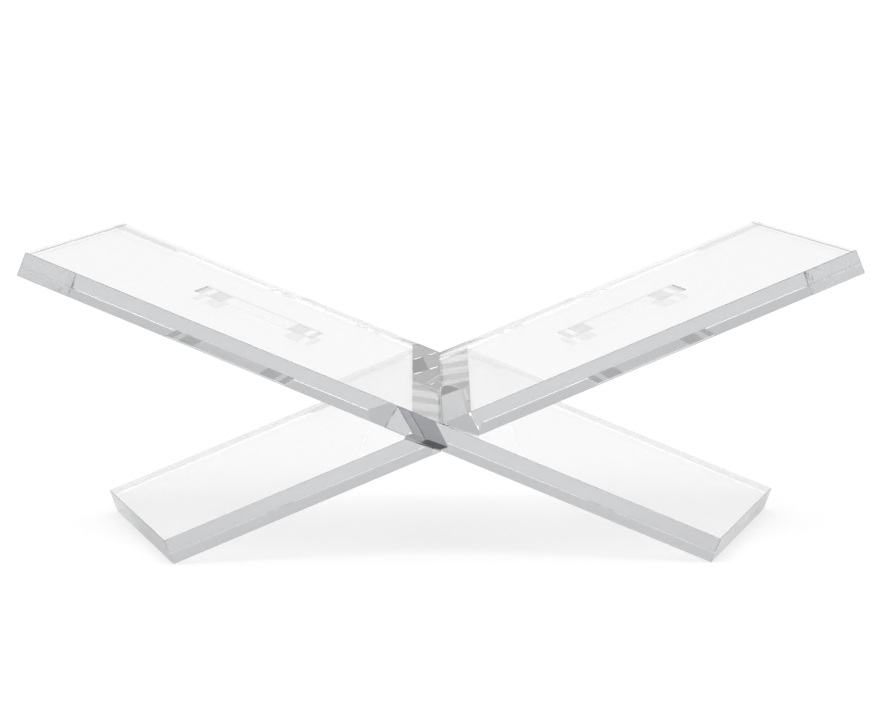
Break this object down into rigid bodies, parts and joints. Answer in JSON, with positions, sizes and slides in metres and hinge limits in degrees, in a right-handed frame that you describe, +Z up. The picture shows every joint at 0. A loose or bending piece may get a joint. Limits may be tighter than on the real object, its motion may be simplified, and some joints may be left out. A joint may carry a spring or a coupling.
{
  "type": "bible stand",
  "caption": "Clear acrylic X-shaped stand that holds an open bible: slotted panels cross, lock together and slide apart.",
  "frame": {"origin": "on the table, under the middle of the stand's bounding box, in the plane where the panels meet", "axes": "+Z up, the reader is at -Y, +X to the reader's right"},
  "size_m": [0.5076, 0.3038, 0.1751],
  "materials": {
    "left_acrylic": "polished clear cast acrylic",
    "right_acrylic": "polished clear cast acrylic"
  },
  "bodies": {
    "left": {"left_panel": "left_acrylic"},
    "right": {"right_panel": "right_acrylic"}
  },
  "joints": [
    {"name": "panel_slide", "type": "slide", "parent": "left", "child": "right", "axis": [0, 0.9968, 0.0796], "range_m": [0, 0.13]}
  ]
}
